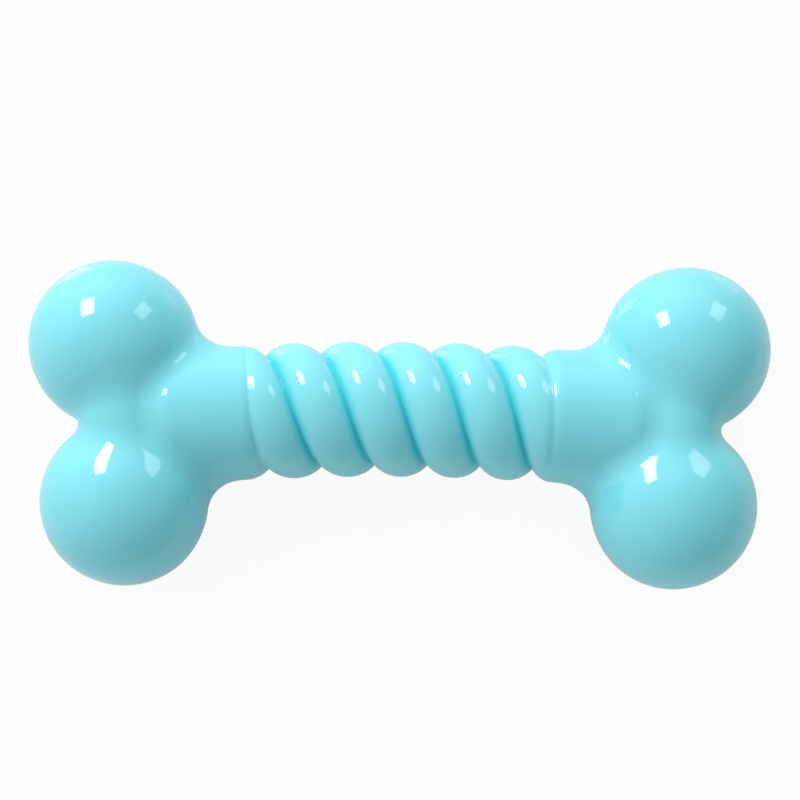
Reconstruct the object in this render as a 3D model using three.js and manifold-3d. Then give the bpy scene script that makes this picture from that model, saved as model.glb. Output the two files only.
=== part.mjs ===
// A dog chew bone: two rubber knuckles moulded over the ends of a twisted grip.
// The grip is two round rubber strands laid side by side round a nylon core rod.
// Millimetres, +Z up. The bone lies on its four lobes, with +X along it and +Y across the lobes,
// and its origin is on the floor, midway between the lobes.
import * as THREE from 'three';
import { mergeVertices } from 'three/addons/utils/BufferGeometryUtils.js';
import Module from 'manifold-3d';

// Driving dimensions of the knuckles
const LOBE_DIAMETER = 36;
const LOBE_SPACING = 34; // between the two lobe centres of one knuckle
const LOBE_REACH = 60.7; // middle of the bone to the lobe centres, along its axis
const BAR_THICKNESS = 20; // crossbar between the lobes, along the bone
const BAR_HEIGHT = 28.8;
const BAR_REACH = 58.5; // middle of the bone to the middle of the crossbar
const BAR_EASE = 2.5; // how softly crossbar and lobes meet
const COLLAR_STEP = 0.2; // how far the strands stand proud of the collars
const COLLAR_WALL = 3.2; // rubber round what the collar holds
const SIDE_FILLET = 7.4; // radius of the fillets between the collar's shaft and the rest
const TOP_FILLET = 4.5; // the same on top and underneath
const SHAFT_EASE = 0.3; // keeps them soft where they are narrow
const RIM_REACH = 28.8; // middle of the bone to a collar's open end, along its axis
const RIM_ROUNDING = 4.8;
const DOME_REACH = 58.4; // middle of the bone to the shaft's other end, against the crossbar
const DOME_ROUNDING = 10.9;
const FOOT_DIAMETER = 6; // flat under each lobe, where it rests on the floor

// Driving dimensions of the grip and its core
const STRAND_DIAMETER = 10.3;
const STRAND_GAP = 0.55; // between neighbouring turns of the two strands
const TAIL_LENGTH = 9; // how far a strand runs on inside a collar
const TAIL_INSET = 1.6; // how far inside it starts to thin
const TAIL_TAPER = 6; // length over which it thins
const CORE_DIAMETER = 8;
const HEAD_THICKNESS = 4.5; // button on each end of the core, which keeps the knuckle on
const HEAD_CHAMFER = 1;
const CLEARANCE = 0.3; // between pieces that touch
const BOW_ANGLE = 10.8; // degrees that the bone bends from end to end, in the plane of its lobes
const BOW_REACH = 50; // middle of the bone to where the bend ends, along its axis

// How finely the round shapes are cut
const KNUCKLE_SIDES = 56;
const KNUCKLE_ROWS_PER_TURN = 60; // rows of a full circle, seen from inside the knuckle
const RIM_STEPS = 5;
const STRAND_SIDES = 10;
const STRAND_STEPS_PER_TURN = 24;
const CORE_SIDES = 20;
const CORE_STEP = 5; // length of one straight stretch of the bent core
const BORE_STEPS = 5;
const SEARCH_STEPS = 40; // halvings that place a point on a knuckle's surface
const HEART_REACH = 53.1; // middle of the bone to where the lines to those points start

// Sizes that follow from them
const FULL_TURN = 2 * Math.PI;
const LOBE_RADIUS = LOBE_DIAMETER / 2;
const LOBE_OFFSET = LOBE_SPACING / 2;
const BAR_RADIUS = BAR_THICKNESS / 2; // its top and underside are round
const BAR_RISE = BAR_HEIGHT / 2 - BAR_RADIUS; // half the height of its flat sides
const FLOOR_DROP = Math.sqrt(LOBE_RADIUS ** 2 - (FOOT_DIAMETER / 2) ** 2); // lobe centre to floor
const CORE_RADIUS = CORE_DIAMETER / 2;
const SEAT_RADIUS = CORE_RADIUS + CLEARANCE; // the strands lie on this
const HELIX_RADIUS = SEAT_RADIUS + STRAND_DIAMETER / 2;
const COLLAR_RADIUS = SEAT_RADIUS + STRAND_DIAMETER - COLLAR_STEP;
const HEAD_RADIUS = COLLAR_RADIUS - COLLAR_WALL;
const TAIL_DIAMETER = HEAD_RADIUS - SEAT_RADIUS; // the tails stay under the head
const STRAND_END = RIM_REACH + TAIL_LENGTH;
const HEAD_FACE = STRAND_END + TAIL_DIAMETER / 2 + CLEARANCE; // clear of the tails' slanted ends
const CORE_END = HEAD_FACE + HEAD_THICKNESS;
const BOW_RADIUS = BOW_REACH / THREE.MathUtils.degToRad(BOW_ANGLE / 2);

// Two strands lie side by side, so one turn climbs by two strand widths, measured square to them.
const TURN_WIDTH = 2 * (STRAND_DIAMETER + STRAND_GAP);
const LEAD = TURN_WIDTH / Math.sqrt(1 - (TURN_WIDTH / (FULL_TURN * HELIX_RADIUS)) ** 2);

// A point of the straight bone, moved to where the bow puts it.
// The axis is an arc up to the end of the bend and runs straight on beyond it.
function bowed(along, across, up) {
  const bent = THREE.MathUtils.clamp(along, -BOW_REACH, BOW_REACH);
  const turn = bent / BOW_RADIUS;
  const straight = along - bent;
  const fromCentre = BOW_RADIUS + across;
  return new THREE.Vector3(
    fromCentre * Math.sin(turn) + straight * Math.cos(turn),
    fromCentre * Math.cos(turn) - straight * Math.sin(turn) - BOW_RADIUS,
    up,
  );
}

// Points of one ring, turning from +Y to +Z. The callback places each from its direction.
function ringOf(sides, place) {
  const ring = [];
  for (let side = 0; side < sides; side += 1) {
    const angle = (FULL_TURN * side) / sides;
    ring.push(place(Math.cos(angle), Math.sin(angle)));
  }
  return ring;
}

// A closed skin through rings of points, with a fan over each end.
function skin(rings, firstCentre, lastCentre) {
  const sides = rings[0].length;
  const points = [...rings.flat(), firstCentre, lastCentre];
  const first = points.length - 2;
  const last = points.length - 1;
  const lastRing = (rings.length - 1) * sides;
  const index = [];
  for (let side = 0; side < sides; side += 1) {
    const next = (side + 1) % sides;
    for (let row = 0; row < lastRing; row += sides) {
      index.push(row + side, row + next, row + sides + next);
      index.push(row + side, row + sides + next, row + sides + side);
    }
    index.push(first, next, side);
    index.push(last, lastRing + side, lastRing + next);
  }
  const geometry = new THREE.BufferGeometry().setFromPoints(points);
  geometry.setIndex(index);
  return geometry;
}

// A round solid along the bowed axis, from stations of [place along the axis, radius]
// on one half of the bone, which the other half repeats.
function turned(halfStations) {
  const otherHalf = halfStations.map(([along, radius]) => [-along, radius]);
  const stations = [...otherHalf.reverse(), ...halfStations];
  const rings = stations.map(([along, radius]) => (
    ringOf(CORE_SIDES, (cos, sin) => bowed(along, radius * cos, radius * sin))
  ));
  const [end] = halfStations[halfStations.length - 1];
  return skin(rings, bowed(-end, 0, 0), bowed(end, 0, 0));
}

// A strand is full size between the collars, and thins once it is inside one.
function strandRadius(along) {
  const inside = Math.abs(along) - RIM_REACH - TAIL_INSET;
  const thinned = THREE.MathUtils.smoothstep(inside, 0, TAIL_TAPER);
  return THREE.MathUtils.lerp(STRAND_DIAMETER, TAIL_DIAMETER, thinned) / 2;
}

// The centre of a strand. At the middle of the bone it crosses over or under the axis.
function strandCentre(along, startAngle) {
  const angle = startAngle + (FULL_TURN * along) / LEAD;
  const radius = SEAT_RADIUS + strandRadius(along);
  return bowed(along, radius * Math.cos(angle), radius * Math.sin(angle));
}

// Rings of points along a strand. The extra size makes the cutter for its seat.
function strandRings(startAngle, extra) {
  const end = STRAND_END + extra;
  const stride = LEAD / STRAND_STEPS_PER_TURN;
  const steps = Math.ceil((2 * end) / stride);
  const rings = [];
  for (let step = 0; step <= steps; step += 1) {
    const along = THREE.MathUtils.lerp(-end, end, step / steps);
    const centre = strandCentre(along, startAngle);
    const behind = strandCentre(along - stride, startAngle);
    const tangent = strandCentre(along + stride, startAngle).sub(behind).normalize();
    const outward = centre.clone().sub(bowed(along, 0, 0)).normalize();
    const sideways = new THREE.Vector3().crossVectors(tangent, outward).normalize();
    const radius = strandRadius(along) + extra;
    rings.push(ringOf(STRAND_SIDES, (cos, sin) => (
      centre.clone().addScaledVector(outward, radius * cos).addScaledVector(sideways, radius * sin)
    )));
  }
  return rings;
}

function strand(startAngle, extra = 0) {
  const end = STRAND_END + extra;
  return skin(
    strandRings(startAngle, extra),
    strandCentre(-end, startAngle),
    strandCentre(end, startAngle),
  );
}

// The core rod, with a chamfered button on each end, behind the strands' tails.
function core(extra = 0) {
  const rod = CORE_RADIUS + extra;
  const head = HEAD_RADIUS + extra;
  const inner = HEAD_FACE - extra;
  const outer = CORE_END + extra;
  const steps = Math.ceil(inner / CORE_STEP);
  const stations = [];
  for (let step = 1; step <= steps; step += 1) {
    stations.push([(inner * step) / steps, rod]);
  }
  stations.push(
    [inner, head - HEAD_CHAMFER],
    [inner + HEAD_CHAMFER, head],
    [outer - HEAD_CHAMFER, head],
    [outer, head - HEAD_CHAMFER],
  );
  return turned(stations);
}

// The hollow inside the collars: the rubber grips the strands from outside, up to their centres.
function bore() {
  const stations = [];
  for (let step = 0; step <= BORE_STEPS; step += 1) {
    const along = THREE.MathUtils.lerp(RIM_REACH, HEAD_FACE, step / BORE_STEPS);
    stations.push([along, SEAT_RADIUS + strandRadius(along)]);
  }
  return turned(stations);
}

// A form that lies within a radius of some inner points, seen from a point that is a given way
// from the nearest of them: its distance, negative inside, and the direction straight out of it.
function rounded(away, radius) {
  const length = Math.max(away.length(), 1e-6);
  return { distance: length - radius, outward: away.divideScalar(length) };
}

// Two forms joined by a fillet, which is wider where their surfaces meet more sharply.
function joined(first, second, fillet, ease) {
  const width = fillet * (1 - first.outward.dot(second.outward)) + ease;
  const [near, far] = first.distance < second.distance ? [first, second] : [second, first];
  const overlap = Math.max(1 - (far.distance - near.distance) / width, 0);
  return {
    distance: near.distance - (overlap * overlap * width) / 4,
    outward: near.outward.clone().lerp(far.outward, overlap / 2),
  };
}

// Two lobes and the crossbar between them.
function headForm(along, across, up) {
  const out = along - LOBE_REACH;
  const upperLobe = rounded(new THREE.Vector3(out, across - LOBE_OFFSET, up), LOBE_RADIUS);
  const lowerLobe = rounded(new THREE.Vector3(out, across + LOBE_OFFSET, up), LOBE_RADIUS);
  const pastBar = across - THREE.MathUtils.clamp(across, -LOBE_OFFSET, LOBE_OFFSET);
  const pastFlat = up - THREE.MathUtils.clamp(up, -BAR_RISE, BAR_RISE);
  const bar = rounded(new THREE.Vector3(along - BAR_REACH, pastBar, pastFlat), BAR_RADIUS);
  return joined(joined(upperLobe, bar, 0, BAR_EASE), lowerLobe, 0, BAR_EASE);
}

// The shaft starts as the collar, with its rounded rim, and ends in a dome.
function shaftForm(along, across, up) {
  const rounding = along < (RIM_REACH + DOME_REACH) / 2 ? RIM_ROUNDING : DOME_ROUNDING;
  const [start, end] = [RIM_REACH + RIM_ROUNDING, DOME_REACH - DOME_ROUNDING];
  const pastEnd = along - THREE.MathUtils.clamp(along, start, end);
  const fromAxis = Math.max(Math.hypot(across, up), 1e-6);
  const pastSide = Math.max(fromAxis - COLLAR_RADIUS + rounding, 0) / fromAxis;
  return rounded(new THREE.Vector3(pastEnd, pastSide * across, pastSide * up), rounding);
}

// Distance from the right knuckle's surface, negative inside.
function knuckleDistance(along, across, up) {
  const topShare = THREE.MathUtils.smoothstep(Math.abs(up), 0, COLLAR_RADIUS);
  const fillet = THREE.MathUtils.lerp(SIDE_FILLET, TOP_FILLET, topShare);
  const head = headForm(along, across, up);
  const shaft = shaftForm(along, across, up);
  return joined(head, shaft, fillet, SHAFT_EASE).distance;
}

// How far a line that starts at the right knuckle's heart goes to its surface.
function knuckleReach(out, across, up) {
  let inside = 0;
  let outside = LOBE_OFFSET + LOBE_DIAMETER;
  for (let step = 0; step < SEARCH_STEPS; step += 1) {
    const reach = (inside + outside) / 2;
    if (knuckleDistance(HEART_REACH + reach * out, reach * across, reach * up) > 0) {
      outside = reach;
    } else {
      inside = reach;
    }
  }
  return inside;
}

// A knuckle's outside: rings round the collar's rim, then rows seen from its heart.
// The left one is the right one turned half round, so that both are the same moulding.
function knuckleSkin(end) {
  const placed = (along, across, up) => bowed(end * along, across, end * up);
  const seen = (out, across, up) => {
    const reach = knuckleReach(out, across, up);
    return placed(HEART_REACH + reach * out, reach * across, reach * up);
  };
  const rings = [];
  for (let step = 0; step <= RIM_STEPS; step += 1) {
    const angle = (FULL_TURN / 4) * (step / RIM_STEPS);
    const along = RIM_REACH + RIM_ROUNDING * (1 - Math.cos(angle));
    const radius = COLLAR_RADIUS - RIM_ROUNDING * (1 - Math.sin(angle));
    rings.push(ringOf(KNUCKLE_SIDES, (cos, sin) => placed(along, radius * cos, radius * sin)));
  }
  const rimAngle = Math.atan2(RIM_REACH + RIM_ROUNDING - HEART_REACH, COLLAR_RADIUS);
  const arc = FULL_TURN / 4 - rimAngle;
  const rows = Math.round((arc * KNUCKLE_ROWS_PER_TURN) / FULL_TURN);
  for (let row = 1; row < rows; row += 1) {
    const angle = rimAngle + (arc * row) / rows;
    rings.push(ringOf(KNUCKLE_SIDES, (cos, sin) => (
      seen(Math.sin(angle), Math.cos(angle) * cos, Math.cos(angle) * sin)
    )));
  }
  return skin(rings, placed(RIM_REACH, 0, 0), seen(1, 0, 0));
}

// Everything below the floor, which trims each lobe to its small flat foot.
function underFloor() {
  const block = new THREE.BoxGeometry(4 * LOBE_REACH, 4 * LOBE_SPACING, LOBE_DIAMETER);
  return block.translate(0, 0, -FLOOR_DROP - LOBE_RADIUS);
}

// Cutting closed meshes
const wasm = await Module();
wasm.setup();

function toSolid(geometry) {
  geometry.deleteAttribute('normal');
  geometry.deleteAttribute('uv');
  const merged = mergeVertices(geometry);
  return new wasm.Manifold(new wasm.Mesh({
    numProp: 3,
    vertProperties: merged.getAttribute('position').array,
    triVerts: Uint32Array.from(merged.getIndex().array),
  }));
}

function toGeometry(solid) {
  const { vertProperties, triVerts } = solid.getMesh();
  const geometry = new THREE.BufferGeometry();
  geometry.setAttribute('position', new THREE.BufferAttribute(vertProperties, 3));
  geometry.setIndex(new THREE.BufferAttribute(triVerts, 1));
  return geometry;
}

// One end of the bone, with the seats of the strands and the core, and its two feet.
function knuckle(end) {
  const cutters = [
    strand(0, CLEARANCE),
    strand(Math.PI, CLEARANCE),
    core(CLEARANCE),
    bore(),
    underFloor(),
  ];
  const whole = toSolid(knuckleSkin(end));
  return toGeometry(cutters.reduce((solid, cutter) => solid.subtract(toSolid(cutter)), whole));
}

// Glossy aqua thermoplastic rubber outside, natural nylon inside
const RUBBER = { color: 0x7fdfea, roughness: 0.2, metalness: 0 };
const NYLON = { color: 0xe8e4d8, roughness: 0.5, metalness: 0 };

function piece(name, geometry, finish) {
  const faceted = geometry.toNonIndexed();
  faceted.computeVertexNormals();
  const mesh = new THREE.Mesh(faceted, new THREE.MeshStandardMaterial(finish));
  mesh.name = name;
  return mesh;
}

// The least gap between turns, from the ring points of one strand to those of the other
// and to its own turns half a turn or more away.
function leastGap() {
  const first = strandRings(0, 0);
  const second = strandRings(Math.PI, 0).flat();
  let least = Infinity;
  for (const [row, ring] of first.entries()) {
    const others = [...second, ...first.slice(row + STRAND_STEPS_PER_TURN / 2).flat()];
    for (const point of ring) {
      least = others.reduce((gap, other) => Math.min(gap, point.distanceTo(other)), least);
    }
  }
  return least;
}
console.log(`lead of the twist ${LEAD.toFixed(2)} mm, least gap between turns ${leastGap().toFixed(2)} mm`);

const bone = new THREE.Group();
bone.position.set(0, -bowed(LOBE_REACH, 0, 0).y, FLOOR_DROP);
bone.add(
  piece('left_knuckle', knuckle(-1), RUBBER),
  piece('right_knuckle', knuckle(1), RUBBER),
  piece('twist_strand_a', strand(0), RUBBER),
  piece('twist_strand_b', strand(Math.PI), RUBBER),
  piece('core_rod', core(), NYLON),
);

export default bone;
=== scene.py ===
# %% [markdown]
# # A dog chew bone in aqua rubber
#
# The real toy is a bone about 160 mm long. Two knuckles, each with two round lobes and a collar,
# are moulded over the ends of a grip, and the grip is two rubber strands twisted round a nylon rod.
# Solid models of these five pieces, in their true places and sizes, are loaded first. They are cut
# in flat facets, so the lesson lays a smooth skin over each piece of rubber, gives every piece its
# material, and lights the bone as a small thing on a white table.

# %% Load the solid pieces
import math

import bmesh
import bpy
import numpy as np
from mathutils import Matrix, Vector


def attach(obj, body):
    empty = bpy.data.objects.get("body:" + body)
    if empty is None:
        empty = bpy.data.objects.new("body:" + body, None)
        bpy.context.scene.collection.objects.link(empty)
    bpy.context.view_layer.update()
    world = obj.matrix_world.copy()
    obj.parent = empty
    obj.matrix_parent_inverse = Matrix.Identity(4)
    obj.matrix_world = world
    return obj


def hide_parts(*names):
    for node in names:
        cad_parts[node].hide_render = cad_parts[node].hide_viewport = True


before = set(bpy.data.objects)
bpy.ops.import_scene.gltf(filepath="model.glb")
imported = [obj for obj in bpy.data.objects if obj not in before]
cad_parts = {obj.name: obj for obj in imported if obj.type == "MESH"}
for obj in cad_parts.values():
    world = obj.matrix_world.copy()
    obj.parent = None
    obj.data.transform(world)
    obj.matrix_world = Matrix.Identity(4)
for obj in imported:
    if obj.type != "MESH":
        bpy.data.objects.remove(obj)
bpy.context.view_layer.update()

MM = 0.001  # sizes and places below are in millimetres, and Blender's unit here is the metre
print("solid pieces:", ", ".join(sorted(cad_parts)))

# %% [markdown]
# ## The camera
#
# The bone is seen from above, a little from its lower side, with its length across the frame. The
# ends look a little larger than a distant view would make them, so the camera stands fairly close:
# about 350 mm away, with a short telephoto lens. A camera can be turned by eye, but here each angle
# is a number, because the same view has to come out on every run.

# %% Camera
SENSOR_WIDTH = 36.0
LENS = 72.0
VIEW_DISTANCE = 346.4
VIEW_TARGET = (0.0, 3.3, 17.75)  # the middle of the bone's thickness
VIEW_TILT = -0.072  # radians, about X, then about Y, then about the line of sight
VIEW_TURN = 0.0268
VIEW_ROLL = 0.0100
FRAME_SHIFT = (-0.0010, 0.0121)  # the bone lies just below the middle of the frame
NEAREST = 10.0  # what is nearer to the camera than this isn't drawn

to_view = (
    Matrix.Rotation(-VIEW_ROLL, 4, "Z")
    @ Matrix.Rotation(VIEW_TURN, 4, "Y")
    @ Matrix.Rotation(VIEW_TILT, 4, "X")
)
camera = bpy.data.objects.new("camera", bpy.data.cameras.new("camera"))
camera.data.sensor_width = SENSOR_WIDTH
camera.data.lens = LENS
camera.data.shift_x, camera.data.shift_y = FRAME_SHIFT
camera.data.clip_start = NEAREST * MM
stand = Vector(VIEW_TARGET) + to_view.transposed() @ Vector((0, 0, VIEW_DISTANCE))
camera.matrix_world = Matrix.Translation(stand * MM) @ to_view.transposed()
bpy.context.scene.collection.objects.link(camera)
bpy.context.scene.camera = camera
print("camera at", [round(c, 4) for c in camera.location])

# %% [markdown]
# ## The bow of the bone
#
# The bone isn't straight: a soft toy like this leaves its mould with a slight bend, here of about
# 11 degrees from end to end. A Simple Deform modifier could bend a straight model. One function
# that places every point does the same, and lets each piece be worked out as if the bone were
# straight: along its axis, across its lobes and up through its thickness.

# %% Bow
LOBE_DIAMETER = 36.0
LOBE_REACH = 60.7  # middle of the bone to the lobe centres, along its axis
FOOT_DIAMETER = 6.0  # flat under each lobe, where it rests on the table
BOW_ANGLE = 10.8  # degrees from end to end
BOW_REACH = 50.0  # middle of the bone to where the bend ends, along its axis

LOBE_RADIUS = LOBE_DIAMETER / 2
LOBE_HEIGHT = math.sqrt(LOBE_RADIUS ** 2 - (FOOT_DIAMETER / 2) ** 2)
BOW_RADIUS = BOW_REACH / math.radians(BOW_ANGLE / 2)


def on_bow(along, across, up):
    """Points of the straight bone, moved to the bowed one, whose middle is at the origin."""
    bent = np.clip(along, -BOW_REACH, BOW_REACH)
    turn = bent / BOW_RADIUS
    straight = along - bent
    from_centre = BOW_RADIUS + across
    x = from_centre * np.sin(turn) + straight * np.cos(turn)
    y = from_centre * np.cos(turn) - straight * np.sin(turn) - BOW_RADIUS
    return np.stack([x, y, up], axis=-1)


LIFT = np.array([0, -on_bow(LOBE_REACH, 0.0, 0.0)[1], LOBE_HEIGHT])


def on_table(along, across, up):
    """The same points once the bone lies on the table, on its four lobes."""
    return on_bow(along, across, up) + LIFT


print(f"the grip's middle lies {LIFT[1]:.2f} mm above the line between the knuckles")

# %% [markdown]
# ## Round forms that meet in fillets
#
# A knuckle is one moulding, whose round forms meet in soft fillets. A Bevel on a Boolean makes
# fillets of one size only, and metaballs swell. So each form is written as a distance from its
# surface, with the direction that leads straight out of it. The lesser of two distances, eased
# where they are nearly equal, is a joint with a fillet. How far to ease depends on the fillet's
# radius and on how sharply the two surfaces meet, which their directions tell, and a small constant
# ease keeps even shallow joints soft.

# %% Round forms and fillets
TINY = 1e-6  # keeps a length that something is divided by above 0


def eased(share):
    """A smooth step from 0 to 1."""
    share = np.clip(share, 0, 1)
    return share ** 2 * (3 - 2 * share)


def rounded(away, radius):
    """Distance and outward direction of a form that lies within a radius of some inner points."""
    length = np.maximum(np.linalg.norm(away, axis=-1, keepdims=True), TINY)
    return length[..., 0] - radius, away / length


def joined(first, second, fillet, ease):
    """Distance and outward direction of two forms that are joined by a fillet."""
    (distance_1, way_1), (distance_2, way_2) = first, second
    width = fillet * (1 - np.sum(way_1 * way_2, axis=-1)) + ease
    overlap = np.maximum(1 - np.abs(distance_1 - distance_2) / width, 0)
    share = np.where(distance_1 < distance_2, overlap / 2, 1 - overlap / 2)[..., None]
    distance = np.minimum(distance_1, distance_2) - overlap ** 2 * width / 4
    return distance, way_1 * (1 - share) + way_2 * share


print("a smooth step in quarters:", eased(np.linspace(0, 1, 5)))

# %% [markdown]
# ## The form of a knuckle
#
# The moulding has two round lobes, a thick crossbar between them, and a shaft that starts as a
# collar round the end of the grip and ends in a dome against the crossbar. Each of these is all that
# lies within a radius of a point, a flat strip or a thinner rod, so a few lengths describe it. Where
# the two halves of the mould meet, they leave a hairline round the knuckle's middle.

# %% Lobes and crossbar
LOBE_SPACING = 34.0  # between the two lobe centres of one knuckle
BAR_RADIUS = 10.0  # of the crossbar's round top and underside
BAR_RISE = 4.4  # half the height of its flat sides
BAR_REACH = 58.5  # middle of the bone to the middle of the crossbar
BAR_EASE = 2.5  # how softly crossbar and lobes meet

LOBE_OFFSET = LOBE_SPACING / 2


def knuckle_head(along, across, up):
    """Distance and outward direction of the right knuckle's crossbar, with a lobe on each end."""
    past_bar = across - np.clip(across, -LOBE_OFFSET, LOBE_OFFSET)
    past_flat = up - np.clip(up, -BAR_RISE, BAR_RISE)
    head = rounded(np.stack([along - BAR_REACH, past_bar, past_flat], axis=-1), BAR_RADIUS)
    for offset in (LOBE_OFFSET, -LOBE_OFFSET):
        lobe = rounded(np.stack([along - LOBE_REACH, across - offset, up], axis=-1), LOBE_RADIUS)
        head = joined(lobe, head, fillet=0, ease=BAR_EASE)
    return head


print(f"the crossbar is {2 * (BAR_RISE + BAR_RADIUS):.1f} mm high")

# %% Shaft
COLLAR_RADIUS = 14.4
RIM_REACH = 28.8  # middle of the bone to a collar's open end, along its axis
RIM_ROUNDING = 4.8
DOME_REACH = 58.4  # middle of the bone to the other end of the collar's shaft
DOME_ROUNDING = 10.9


def knuckle_shaft(along, across, up):
    """Distance and outward direction of the right knuckle's shaft, from its rim to its dome."""
    rounding = np.where(along < (RIM_REACH + DOME_REACH) / 2, RIM_ROUNDING, DOME_ROUNDING)
    past_end = along - np.clip(along, RIM_REACH + RIM_ROUNDING, DOME_REACH - DOME_ROUNDING)
    from_axis = np.maximum(np.hypot(across, up), TINY)
    past_side = np.maximum(from_axis - (COLLAR_RADIUS - rounding), 0) / from_axis
    return rounded(np.stack([past_end, past_side * across, past_side * up], axis=-1), rounding)


print(f"the shaft is {DOME_REACH - RIM_REACH:.1f} mm long")

# %% Whole knuckle
SIDE_FILLET = 7.4  # radius of the fillets between shaft and head, at the shaft's sides
TOP_FILLET = 4.5  # and on top
SHAFT_EASE = 0.3
PARTING_HEIGHT = 0.06  # of the mould's hairline
PARTING_WIDTH = 0.25


def knuckle_distance(along, across, up):
    """Distance of points from the right knuckle's surface, negative inside."""
    head = knuckle_head(along, across, up)
    shaft = knuckle_shaft(along, across, up)
    fillet = SIDE_FILLET + (TOP_FILLET - SIDE_FILLET) * eased(np.abs(up) / COLLAR_RADIUS)
    distance, _ = joined(head, shaft, fillet, SHAFT_EASE)
    return distance - PARTING_HEIGHT * np.exp(-((up / PARTING_WIDTH) ** 2))


depth = -knuckle_distance(BAR_REACH, 0.0, 0.0)
print(f"the middle of the crossbar lies {depth:.1f} mm inside the knuckle")

# %% [markdown]
# ## The skin of a knuckle
#
# A cube with a fine grid on its faces is a good start for a round skin, because it has no poles
# where edges crowd together, as a UV sphere has. Each of its points is sent straight out from the
# heart of the knuckle until it meets the surface, which is found by halving a stretch of the line
# again and again.

# %% Knuckle skin
KNUCKLE_CUTS = 79  # odd, so that one grid line runs along the mould's hairline
HEART_REACH = 53.1  # middle of the bone to the point that the lines start from
SEARCH_STEPS = 40


def gridded_cube(cuts):
    """Directions from the middle of a cube to the points of its grid, and the grid's faces."""
    cube = bmesh.new()
    bmesh.ops.create_cube(cube, size=2)
    bmesh.ops.subdivide_edges(cube, edges=cube.edges[:], cuts=cuts, use_grid_fill=True)
    cube.verts.index_update()
    points = np.tan(np.array([v.co for v in cube.verts]) * math.pi / 4)
    faces = [[v.index for v in face.verts] for face in cube.faces]
    cube.free()
    return points / np.linalg.norm(points, axis=1, keepdims=True), faces


def reach_of_skin(rays):
    """How far from the heart each line meets the right knuckle's surface."""
    inside = np.zeros(len(rays))
    outside = np.full(len(rays), LOBE_OFFSET + LOBE_DIAMETER)
    for _ in range(SEARCH_STEPS):
        reach = (inside + outside) / 2
        out, across, up = (rays * reach[:, None]).T
        beyond = knuckle_distance(HEART_REACH + out, across, up) > 0
        outside = np.where(beyond, reach, outside)
        inside = np.where(beyond, inside, reach)
    return inside


rays, skin_faces = gridded_cube(KNUCKLE_CUTS)
skin_reach = reach_of_skin(rays)
print(f"the skin lies {skin_reach.min():.1f} to {skin_reach.max():.1f} mm from the heart")

# %% [markdown]
# ## The two knuckles
#
# Both ends of the bone come from one mould, so the left knuckle is the right one turned half round,
# as two copies of a real moulding are. A Mirror modifier would instead make a left-handed copy. Soft
# rubber lies flat where it rests, so each lobe is flattened where it would go below the table.

# %% Knuckles
SHARP_ANGLE = 18  # degrees between faces, above which their edge isn't smoothed


def add_piece(name, points, faces):
    """A smooth mesh piece from points in millimetres."""
    mesh = bpy.data.meshes.new(name)
    mesh.from_pydata((points * MM).tolist(), [], faces)
    mesh.shade_smooth()
    mesh.set_sharp_from_angle(angle=math.radians(SHARP_ANGLE))
    piece = bpy.data.objects.new(name, mesh)
    bpy.context.scene.collection.objects.link(piece)
    print(f"{name}: {len(mesh.polygons)} faces, {[round(d / MM, 1) for d in piece.dimensions]} mm")
    return piece


def add_knuckle(name, end):
    """The right knuckle for an end of 1, the left one for -1."""
    out, across, up = (rays * skin_reach[:, None]).T
    points = on_table(end * (HEART_REACH + out), across, end * up)
    points[:, 2] = np.maximum(points[:, 2], 0)
    return add_piece(name, points, skin_faces)


knuckles = [add_knuckle("left_knuckle_skin", -1), add_knuckle("right_knuckle_skin", 1)]

# %% [markdown]
# ## The twist of the grip
#
# Two rubber strands lie side by side round the rod, half a turn apart, like the plies of a two-ply
# rope. A Screw modifier asks for the height of one turn. On a rope it isn't chosen: it follows from
# how thick the strands are and how far from the axis they lie, so it is worked out here.

# %% Twist
STRAND_DIAMETER = 10.3
STRAND_GAP = 0.55  # what round strands would leave between their turns
SEAT_RADIUS = 4.3  # the strands lie on the rod at this distance from the axis

HELIX_RADIUS = SEAT_RADIUS + STRAND_DIAMETER / 2
TURN_WIDTH = 2 * (STRAND_DIAMETER + STRAND_GAP)  # square to the strands
LEAD = TURN_WIDTH / math.sqrt(1 - (TURN_WIDTH / (2 * math.pi * HELIX_RADIUS)) ** 2)
SLANT = math.atan(LEAD / (2 * math.pi * HELIX_RADIUS))
print(f"one turn of the twist is {LEAD:.2f} mm long, at a slant of {math.degrees(SLANT):.1f} degrees")

# %% [markdown]
# ## The section of a strand
#
# A curve with a bevel would sweep a circle along the helix, and round strands leave deep dark slits.
# Soft rubber that is laid tight bulges, meets its neighbour halfway and knits there, which rounds
# the bottom of the groove. So the outer side of each ring of points is an oval whose height is eased
# into the neighbour's, and the inner side is the oval, cut off halfway to the next turn.

# %% Strand section
STRAND_BULGE = 0.5  # how much wider pressing makes each flank
FLANK_SHARE = 0.97  # a strand too thin to meet its neighbour ends at this share of its half width
FLANK_GAP = 0.005  # keeps the meshes of two neighbours from crossing
GROOVE_EASE = 1.2  # heights that differ by less are eased into each other
OUTER_SIDES = 44
INNER_SIDES = 20


def halfway(from_axis):
    """Half the way to the next turn, square to the strand, at a distance from the bone's axis."""
    steepness = math.tan(SLANT) * math.sin(SLANT) * HELIX_RADIUS / from_axis
    return LEAD / 4 / (math.cos(SLANT) + steepness) - FLANK_GAP


def oval(radius, sideways):
    """Height of a pressed strand at a place beside its middle."""
    return radius * np.sqrt(np.maximum(1 - (sideways / (radius + STRAND_BULGE)) ** 2, 0))


def meeting_place(radius):
    """How far beside its middle a strand meets its neighbour, or ends."""
    return np.minimum(halfway(HELIX_RADIUS), FLANK_SHARE * (radius + STRAND_BULGE))


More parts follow.
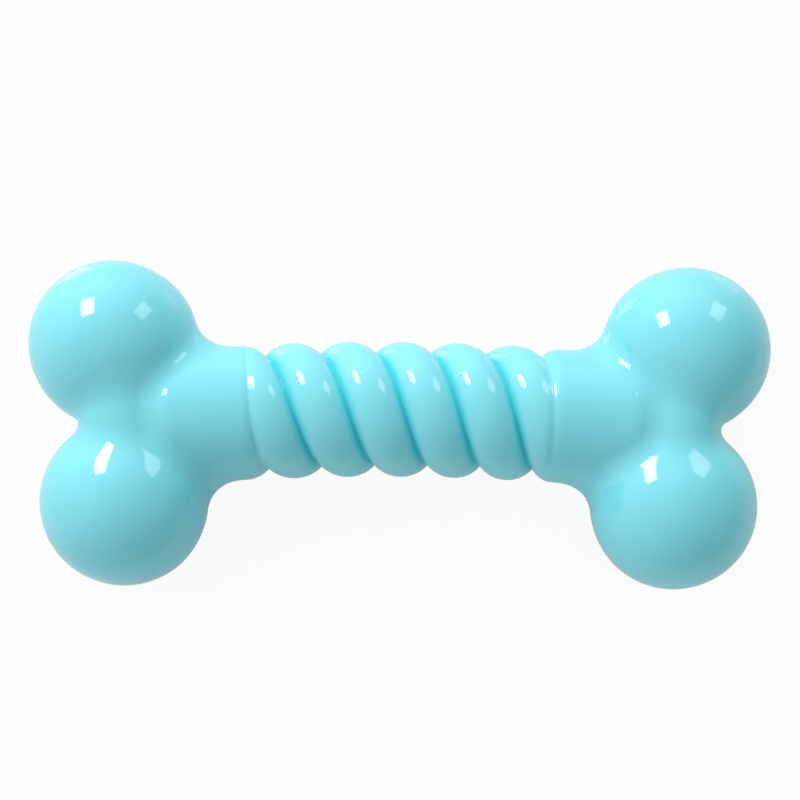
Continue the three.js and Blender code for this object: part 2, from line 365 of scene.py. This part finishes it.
def outer_side(radius):
    """Height and sideways place of the points on a strand's outer side, from one flank to the other."""
    meet = meeting_place(radius)
    share = np.sin(np.linspace(-math.pi / 2, math.pi / 2, OUTER_SIDES))
    own = oval(radius, share * meet)
    next_turn = oval(radius, (2 - np.abs(share)) * meet)
    overlap = np.maximum(1 - (own - next_turn) / GROOVE_EASE, 0)
    height = own + overlap ** 2 * GROOVE_EASE / 4
    return height, share * meet * halfway(SEAT_RADIUS + radius + height) / halfway(HELIX_RADIUS)


def inner_side(radius):
    """The same for the inner side, which lies on the rod."""
    angle = np.linspace(math.pi / 2, 3 * math.pi / 2, INNER_SIDES)
    height = radius * np.cos(angle)
    limit = meeting_place(radius) * halfway(SEAT_RADIUS + radius + height) / halfway(HELIX_RADIUS)
    return height, np.clip((radius + STRAND_BULGE) * np.sin(angle), -limit, limit)


heights, _ = outer_side(STRAND_DIAMETER / 2)
print(f"the grooves are {np.ptp(heights):.1f} mm deep")

# %% [markdown]
# ## Where the strands enter the collars
#
# Inside the collars the strands thin out, so that the rubber of the knuckle can close over them.
# Where they go in, the rubber has run together in a small fillet. A Bevel modifier can't round the
# crease between two meshes. So each strand's outer side rises to meet the collar, and past the fillet
# it goes on just under the collar's surface.

# %% Strand ends
TAIL_DIAMETER = 6.9
TAIL_START = 30.4  # middle of the bone to where a strand starts to thin, inside the collar
TAIL_TAPER = 6.0  # the length over which it thins
KNIT_EASE = 0.9  # heights of strand and collar that differ by less are eased into each other
KNIT_SINK = 0.04  # how far under the collar's surface a strand goes on


def strand_side(along, side):
    """Distance from the axis and sideways place of one side's points, for each ring of a strand."""
    _, sideways = side(STRAND_DIAMETER / 2)
    inside = np.abs(along - sideways * math.cos(SLANT)) - TAIL_START
    thinned = eased(inside / TAIL_TAPER)
    radius = (STRAND_DIAMETER + (TAIL_DIAMETER - STRAND_DIAMETER) * thinned) / 2
    height, sideways = side(radius)
    return SEAT_RADIUS + radius + height, sideways


def collar_profile(along):
    """Distance of the collars' surface from the axis, and 0 between the collars."""
    to_side = np.clip(RIM_REACH + RIM_ROUNDING - np.abs(along), 0, RIM_ROUNDING)
    profile = COLLAR_RADIUS - RIM_ROUNDING + np.sqrt(RIM_ROUNDING ** 2 - to_side ** 2)
    return np.where(np.abs(along) > RIM_REACH, profile, 0)


def knitted(along, from_axis, sideways):
    """Distance from the axis of a strand's outer side, once a fillet joins it to the collars."""
    own = np.hypot(from_axis, sideways * math.sin(SLANT))
    collar = collar_profile(along - sideways * math.cos(SLANT))
    overlap = np.maximum(1 - np.abs(own - collar) / KNIT_EASE, 0)
    sunk = np.where(own < collar, KNIT_SINK * (1 - overlap), 0)
    return from_axis - own + np.maximum(own, collar) + overlap ** 2 * KNIT_EASE / 4 - sunk


print(f"where the strands start to thin, the collar's radius is {collar_profile(TAIL_START):.1f} mm")

# %% [markdown]
# ## The strands
#
# Each strand is a tube: a ring of points for every small step along the helix, and a cap on each
# end. A Curve object would build the tube by itself, but with one shape of section from end to end.
# The mesh also notes how deep each point lies below the crown of the strand, for the shade that
# the rubber's colour paints into the grooves.

# %% Strands
STRAND_END = 37.8  # middle of the bone to a strand's end, along its axis
STEPS_PER_TURN = 96


def tube_faces(rings, sides):
    """Faces between rings of points, and a cap on each end."""
    last = (rings - 1) * sides
    faces = []
    for row in range(0, last, sides):
        for side in range(sides):
            after = (side + 1) % sides
            faces.append([row + side, row + after, row + sides + after, row + sides + side])
    faces.append([*range(sides)][::-1])
    faces.append([*range(last, last + sides)])
    return faces


def add_strand(name, start_angle):
    """One strand, which passes the middle of the bone at an angle round its axis."""
    steps = math.ceil(2 * STRAND_END / LEAD * STEPS_PER_TURN)
    along = np.linspace(-STRAND_END, STRAND_END, steps + 1)[:, None]
    outer, outer_sideways = strand_side(along, outer_side)
    inner, inner_sideways = strand_side(along, inner_side)
    from_axis = np.concatenate([knitted(along, outer, outer_sideways), inner], axis=-1)
    sideways = np.concatenate([outer_sideways, inner_sideways], axis=-1)
    round_axis = sideways * math.sin(SLANT)
    turn = start_angle + 2 * math.pi * along / LEAD
    rings = on_table(
        along - sideways * math.cos(SLANT),
        from_axis * np.cos(turn) - round_axis * np.sin(turn),
        from_axis * np.sin(turn) + round_axis * np.cos(turn),
    )
    strand = add_piece(name, rings.reshape(-1, 3), tube_faces(*from_axis.shape))
    # depth below the crown, which sets the painted groove shade
    groove_depth = strand.data.attributes.new("groove_depth", "FLOAT", "POINT")
    groove_depth.data.foreach_set("value", (SEAT_RADIUS + STRAND_DIAMETER - from_axis).ravel())
    return strand


strands = [add_strand("twist_strand_a_skin", 0), add_strand("twist_strand_b_skin", math.pi)]

# %% [markdown]
# ## Placing the pieces on the bone
#
# Each skin takes the place of the solid that it covers and rides with the bone, which has no moving
# parts and so is one body. The rod needs no skin: its facets are hidden inside the rubber.

# %% Ride and replace
covered_nodes = ("left_knuckle", "right_knuckle", "twist_strand_a", "twist_strand_b")
for piece, node in zip(knuckles + strands, covered_nodes):
    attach(piece, "root")
    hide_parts(node)
core_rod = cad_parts["core_rod"]
print("skins in place:", ", ".join(piece.name for piece in knuckles + strands))

# %% [markdown]
# ## Colours and nodes
#
# Every material here is a tree of shader nodes, so that its pattern follows from real sizes and needs
# no picture. Colours are written as the hex values of a colour picker. Blender calculates with linear
# light, so one function converts them, and another adds a node with its settings and links.

# %% Colours and nodes
def linear(hex_colour):
    """An sRGB hex colour as the linear red, green, blue and alpha that Blender calculates with."""
    parts = [int(hex_colour[i:i + 2], 16) / 255 for i in (1, 3, 5)]
    return [p / 12.92 if p <= 0.04045 else ((p + 0.055) / 1.055) ** 2.4 for p in parts] + [1.0]


def add_node(tree, kind, inputs, **settings):
    """Adds a node. An input is linked where its value is another node's output, and set otherwise."""
    node = tree.nodes.new(kind)
    for name, value in settings.items():
        setattr(node, name, value)
    for name, value in inputs.items():
        if isinstance(value, bpy.types.NodeSocket):
            tree.links.new(value, node.inputs[name])
        else:
            node.inputs[name].default_value = value
    return node


def new_material(name):
    """An empty node material and its tree."""
    material = bpy.data.materials.new(name)
    material.use_nodes = True
    material.node_tree.nodes.clear()
    return material, material.node_tree


print("middle grey in linear light:", round(linear("#808080")[0], 3))

# %% [markdown]
# ## The rubber's colour
#
# The bone is thermoplastic rubber in a clear aqua. Pigment isn't mixed perfectly, so the colour
# drifts slightly over about a centimetre. Rubber this clear lets a little light through, and light
# bounces between the strands, so the grooves show a stronger, deeper aqua. Subsurface scattering
# does that within one mesh, but leaves a dark line where two meshes touch. So this light and shade
# is painted into the colour: a deeper aqua follows the depth that each strand's mesh holds. The
# knuckles' meshes hold no such depth, and it counts as 0 there.

# %% Rubber colour
KNUCKLE_AQUA = ("#77DDEA", "#80E4F0")  # where the pigment is denser, and where it is thinner
STRAND_AQUA = ("#7CE2EE", "#84E8F4")
# the painted groove shade: a deeper aqua in place of the light and shade in the grooves
PAINTED_GROOVE_AQUA = "#3CDCE7"
PIGMENT_DRIFT = 14.0  # size of the patches of slightly denser and thinner pigment
GROOVE_SHADE_START = 1.5  # below the crown of a strand
GROOVE_SHADE_FULL = 3.7


def rubber_colour(tree, place, aqua):
    """The colour of each point: nearly even, with a painted shade that deepens it in the grooves."""
    drift = add_node(
        tree, "ShaderNodeTexNoise",
        {"Vector": place, "Scale": 1 / (PIGMENT_DRIFT * MM), "Detail": 2.0},
    )
    even = add_node(
        tree, "ShaderNodeMix",
        {0: drift.outputs["Fac"], 6: linear(aqua[0]), 7: linear(aqua[1])},
        data_type="RGBA",
    )
    depth = add_node(tree, "ShaderNodeAttribute", {}, attribute_name="groove_depth")
    # painted groove shade, full where a point lies deep below the crown
    painted_groove_shade = add_node(
        tree, "ShaderNodeMapRange",
        {"Value": depth.outputs["Fac"], "From Min": GROOVE_SHADE_START, "From Max": GROOVE_SHADE_FULL},
    )
    colour = add_node(
        tree, "ShaderNodeMix",
        {0: painted_groove_shade.outputs["Result"], 6: even.outputs[2], 7: linear(PAINTED_GROOVE_AQUA)},
        data_type="RGBA",
    )
    return colour.outputs[2]


print("aqua in linear light:", [round(c, 3) for c in linear(KNUCKLE_AQUA[0])])

# %% [markdown]
# ## The rubber's gloss
#
# The mould was polished, so the rubber has a wet gloss: sharp white reflections of the lamps and
# hardly any grain. The gloss is uneven where the rubber was handled, and shrinkage leaves very flat
# waves, which show only as a slight unrest at the edges of the reflections. Both are noises in the
# material, because such waves are far too flat to need geometry.

# %% Rubber gloss
GLOSS_PATCH = 5.0  # size of the patches of slightly more and less gloss
GLOSS_SPAN = (0.06, 0.10)  # roughness in the glossiest and in the dullest patches
NOISE_SPAN = (0.3, 0.7)  # nearly all values of a noise lie between these
SKIN_WAVE = 3.2  # from one shrinkage wave to the next
SKIN_WAVE_HEIGHT = 0.006


def rubber_gloss(tree, place):
    """The roughness of each point, and the direction that the waves turn it in."""
    patch = add_node(
        tree, "ShaderNodeTexNoise",
        {"Vector": place, "Scale": 1 / (GLOSS_PATCH * MM), "Detail": 3.0},
    )
    roughness = add_node(
        tree, "ShaderNodeMapRange",
        {
            "Value": patch.outputs["Fac"],
            "From Min": NOISE_SPAN[0],
            "From Max": NOISE_SPAN[1],
            "To Min": GLOSS_SPAN[0],
            "To Max": GLOSS_SPAN[1],
        },
    )
    wave = add_node(
        tree, "ShaderNodeTexNoise",
        {"Vector": place, "Scale": 1 / (SKIN_WAVE * MM), "Detail": 1.0},
    )
    bump = add_node(
        tree, "ShaderNodeBump",
        {"Height": wave.outputs["Fac"], "Distance": SKIN_WAVE_HEIGHT * MM, "Strength": 1.0},
    )
    return roughness.outputs["Result"], bump.outputs["Normal"]


print("roughness of the rubber:", GLOSS_SPAN)

# %% [markdown]
# ## Rubber on the pieces
#
# The knuckles are moulded and the strands are laid, from two batches of rubber in nearly the same
# colour. One material could be copied and changed by hand. A function that takes the colours builds
# both in the same way, so that a change of gloss reaches both.

# %% Rubber
RUBBER_IOR = 1.65  # rubber has about 1.5, and more matches how strongly this one mirrors the lamps


def rubber(name, aqua):
    """Thermoplastic rubber from a polished mould, in a pair of nearly equal colours."""
    material, tree = new_material(name)
    place = add_node(tree, "ShaderNodeTexCoord", {}).outputs["Object"]
    roughness, normal = rubber_gloss(tree, place)
    skin = add_node(
        tree, "ShaderNodeBsdfPrincipled",
        {
            "Base Color": rubber_colour(tree, place, aqua),
            "Roughness": roughness,
            "Normal": normal,
            "IOR": RUBBER_IOR,
        },
    )
    add_node(tree, "ShaderNodeOutputMaterial", {"Surface": skin.outputs["BSDF"]})
    return material


knuckle_rubber = rubber("moulded_aqua_rubber", KNUCKLE_AQUA)
strand_rubber = rubber("laid_aqua_rubber_strand", STRAND_AQUA)
for piece in knuckles:
    piece.data.materials.append(knuckle_rubber)
for piece in strands:
    piece.data.materials.append(strand_rubber)
print("rubber on", len(knuckles + strands), "pieces")

# %% [markdown]
# ## Nylon
#
# The rod inside is natural nylon, a waxy cream-white plastic. It is drawn through a die, which
# leaves faint lines along it. Anisotropic gloss would streak its reflections as well, but a noise
# that is stretched along the bone also varies the colour, so colour and roughness both follow it.

# %% Nylon
NYLON_CREAM = ("#E4DFD1", "#ECE8DC")
NYLON_GLOSS_SPAN = (0.38, 0.52)  # roughness
NYLON_IOR = 1.53
DRAW_LINE = 0.4  # between drawing lines
DRAW_STRETCH = 40  # how much longer than wide a line is

core_nylon, tree = new_material("drawn_natural_nylon")
place = add_node(tree, "ShaderNodeTexCoord", {}).outputs["Object"]
stretched = add_node(
    tree, "ShaderNodeVectorMath",
    {0: place, 1: (1 / DRAW_STRETCH, 1.0, 1.0)},
    operation="MULTIPLY",
)
lines = add_node(
    tree, "ShaderNodeTexNoise",
    {"Vector": stretched.outputs["Vector"], "Scale": 1 / (DRAW_LINE * MM), "Detail": 2.0},
)
tone = add_node(
    tree, "ShaderNodeMix",
    {0: lines.outputs["Fac"], 6: linear(NYLON_CREAM[0]), 7: linear(NYLON_CREAM[1])},
    data_type="RGBA",
)
gloss = add_node(
    tree, "ShaderNodeMapRange",
    {
        "Value": lines.outputs["Fac"],
        "From Min": NOISE_SPAN[0],
        "From Max": NOISE_SPAN[1],
        "To Min": NYLON_GLOSS_SPAN[0],
        "To Max": NYLON_GLOSS_SPAN[1],
    },
)
nylon = add_node(
    tree, "ShaderNodeBsdfPrincipled",
    {"Base Color": tone.outputs[2], "Roughness": gloss.outputs["Result"], "IOR": NYLON_IOR},
)
add_node(tree, "ShaderNodeOutputMaterial", {"Surface": nylon.outputs["BSDF"]})
core_rod.data.materials.clear()
core_rod.data.materials.append(core_nylon)
print("nylon on", core_rod.name)

# %% [markdown]
# ## The white of the table
#
# The bone lies on a sheet of white acrylic. In a picture the sheet should read as white, without more
# light on the bone. So to rays from the camera most of the sheet's white is its own and the rest is
# lit, which keeps the bone's shadow. Rays that mirror in the bone, or pass through it, get a smaller
# share of that white, because the lobes' undersides mirror the shadow. To all other rays the sheet is
# a plain lit surface that sends light back up under the bone. The Light Path node tells the rays
# apart.

# %% Kinds of rays
TABLE_WHITE = 0.92  # the share of the table's white that is its own, to the camera
MIRRORED_WHITE = 0.1  # and to mirrored rays


def mirrored_rays(tree):
    """1 for rays that mirror in a surface or pass through it, else 0."""
    path = add_node(tree, "ShaderNodeLightPath", {})
    mirrored = add_node(
        tree, "ShaderNodeMath",
        {0: path.outputs["Is Glossy Ray"], 1: path.outputs["Is Transmission Ray"]},
        operation="MAXIMUM",
    )
    return mirrored.outputs[0]


def seen_share(tree, by_camera, in_mirrors):
    """A share for rays from the camera and another for mirrored rays, else 0."""
    path = add_node(tree, "ShaderNodeLightPath", {})
    mirrored = add_node(
        tree, "ShaderNodeMath",
        {0: mirrored_rays(tree), 1: in_mirrors},
        operation="MULTIPLY",
    )
    share = add_node(
        tree, "ShaderNodeMath",
        {0: path.outputs["Is Camera Ray"], 1: by_camera, 2: mirrored.outputs[0]},
        operation="MULTIPLY_ADD",
    )
    return share.outputs[0]


table_white, tree = new_material("lacquered_white_acrylic")
own_white = seen_share(tree, TABLE_WHITE, MIRRORED_WHITE)
print("the table's material has", len(tree.nodes), "nodes so far")

# %% [markdown]
# ## The lacquer of the table
#
# The acrylic is matt, and its clear lacquer mirrors the lamps: near the edge of each lobe there is a
# second, fainter image of each softbox. Only mirrored rays meet the lacquer. The camera, from a low
# angle, would see the dark side of the room in it, and the sheet would turn grey.

# %% Table
TABLE_SIZE = 6000.0  # each side of the square sheet
ACRYLIC_WHITE = "#F4F4F4"  # of the part that is lit
ACRYLIC_ROUGHNESS = 0.5
LACQUER_ROUGHNESS = 0.02
LACQUER_IOR = 1.9  # lacquer has about 1.5, and more brings out the fainter images

lit = add_node(
    tree, "ShaderNodeMix",
    {0: own_white, 6: linear(ACRYLIC_WHITE), 7: linear("#000000")},
    data_type="RGBA",
)
sheet = add_node(
    tree, "ShaderNodeBsdfPrincipled",
    {
        "Base Color": lit.outputs[2],
        "Roughness": ACRYLIC_ROUGHNESS,
        "Specular IOR Level": 0.0,
        "Coat Weight": mirrored_rays(tree),
        "Coat Roughness": LACQUER_ROUGHNESS,
        "Coat IOR": LACQUER_IOR,
        "Emission Color": linear("#FFFFFF"),
        "Emission Strength": own_white,
    },
)
add_node(tree, "ShaderNodeOutputMaterial", {"Surface": sheet.outputs["BSDF"]})

half = TABLE_SIZE / 2 * MM
corners = [(-half, -half, 0), (half, -half, 0), (half, half, 0), (-half, half, 0)]
mesh = bpy.data.meshes.new("table")
mesh.from_pydata(corners, [], [(0, 1, 2, 3)])
mesh.materials.append(table_white)
table = bpy.data.objects.new("table", mesh)
bpy.context.scene.collection.objects.link(table)
print(f"table: {[round(d / MM) for d in table.dimensions]} mm")

# %% [markdown]
# ## Softboxes
#
# Each lobe shows the same reflections: a bright upright window at its upper left and a paler one at
# its upper right. They are two softboxes on the far side of the table, the left one about five times
# as bright. Area lamps give reflections with the shape of a softbox, which a sun or point lamp can't.

# %% Softboxes
def add_softbox(name, place, size, turn, radiance):
    """A lamp that faces the middle of the bone, turned about its line to it by an angle in degrees."""
    lamp = bpy.data.lights.new(name, "AREA")
    lamp.shape = "RECTANGLE"
    lamp.size = size[0] * MM
    lamp.size_y = size[1] * MM
    lamp.energy = radiance * math.pi * lamp.size * lamp.size_y
    softbox = bpy.data.objects.new(name, lamp)
    to_bone = (Vector(VIEW_TARGET) - Vector(place)).to_track_quat("-Z", "Y")
    turned = to_bone.to_matrix().to_4x4() @ Matrix.Rotation(math.radians(turn), 4, "Z")
    softbox.matrix_world = Matrix.Translation(Vector(place) * MM) @ turned
    bpy.context.scene.collection.objects.link(softbox)
    print(f"{name}: {lamp.energy:.3f} W")


add_softbox("softbox_left", place=(-300, 380, 345), size=(146, 225), turn=-25, radiance=11.0)
add_softbox("softbox_right", place=(350, 420, 310), size=(165, 260), turn=5, radiance=2.3)

# %% [markdown]
# ## The room
#
# A white room fills in the rest of the light. It is brighter towards the back left, so each lobe
# shades softly towards the lower right, and most of all at its back wall. A picture of a real room
# could light the scene, but a few nodes that follow the direction are enough for a soft change, and
# can be turned and dimmed by their values. To the camera the room is plain white, like the table.

# %% Room
ROOM_LIGHT = 0.60
ROOM_TILT = (-0.30, 0.14, 0.0)  # how much is added towards the right, the back and the ceiling
BACK_WALL = 0.82  # how much the back wall adds at its middle
BACK_WALL_WAY = (-0.25, 0.95, 0.19)
BACK_WALL_FOCUS = 4.0  # the higher, the narrower the wall

room = bpy.data.worlds.new("white_room")
room.use_nodes = True
tree = room.node_tree
tree.nodes.clear()
way = add_node(tree, "ShaderNodeTexCoord", {}).outputs["Generated"]
tilt = add_node(tree, "ShaderNodeVectorMath", {0: way, 1: ROOM_TILT}, operation="DOT_PRODUCT")
level = add_node(tree, "ShaderNodeMath", {0: tilt.outputs["Value"], 1: ROOM_LIGHT}, operation="ADD")
back = add_node(tree, "ShaderNodeVectorMath", {0: way, 1: BACK_WALL_WAY}, operation="DOT_PRODUCT")
back = add_node(tree, "ShaderNodeMath", {0: back.outputs["Value"], 1: 0.0}, operation="MAXIMUM")
back = add_node(tree, "ShaderNodeMath", {0: back.outputs[0], 1: BACK_WALL_FOCUS}, operation="POWER")
level = add_node(
    tree, "ShaderNodeMath",
    {0: back.outputs[0], 1: BACK_WALL, 2: level.outputs[0]},
    operation="MULTIPLY_ADD",
)
lit = add_node(tree, "ShaderNodeBackground", {"Color": linear("#FFFFFF"), "Strength": level.outputs[0]})
shown = add_node(tree, "ShaderNodeBackground", {"Color": linear("#FFFFFF"), "Strength": 1.0})
backdrop = add_node(
    tree, "ShaderNodeMixShader",
    {
        0: seen_share(tree, 1.0, MIRRORED_WHITE),
        1: lit.outputs["Background"],
        2: shown.outputs["Background"],
    },
)
add_node(tree, "ShaderNodeOutputWorld", {"Surface": backdrop.outputs["Shader"]})
bpy.context.scene.world = room
bpy.context.scene.view_settings.view_transform = "Standard"
print("room light", ROOM_LIGHT)
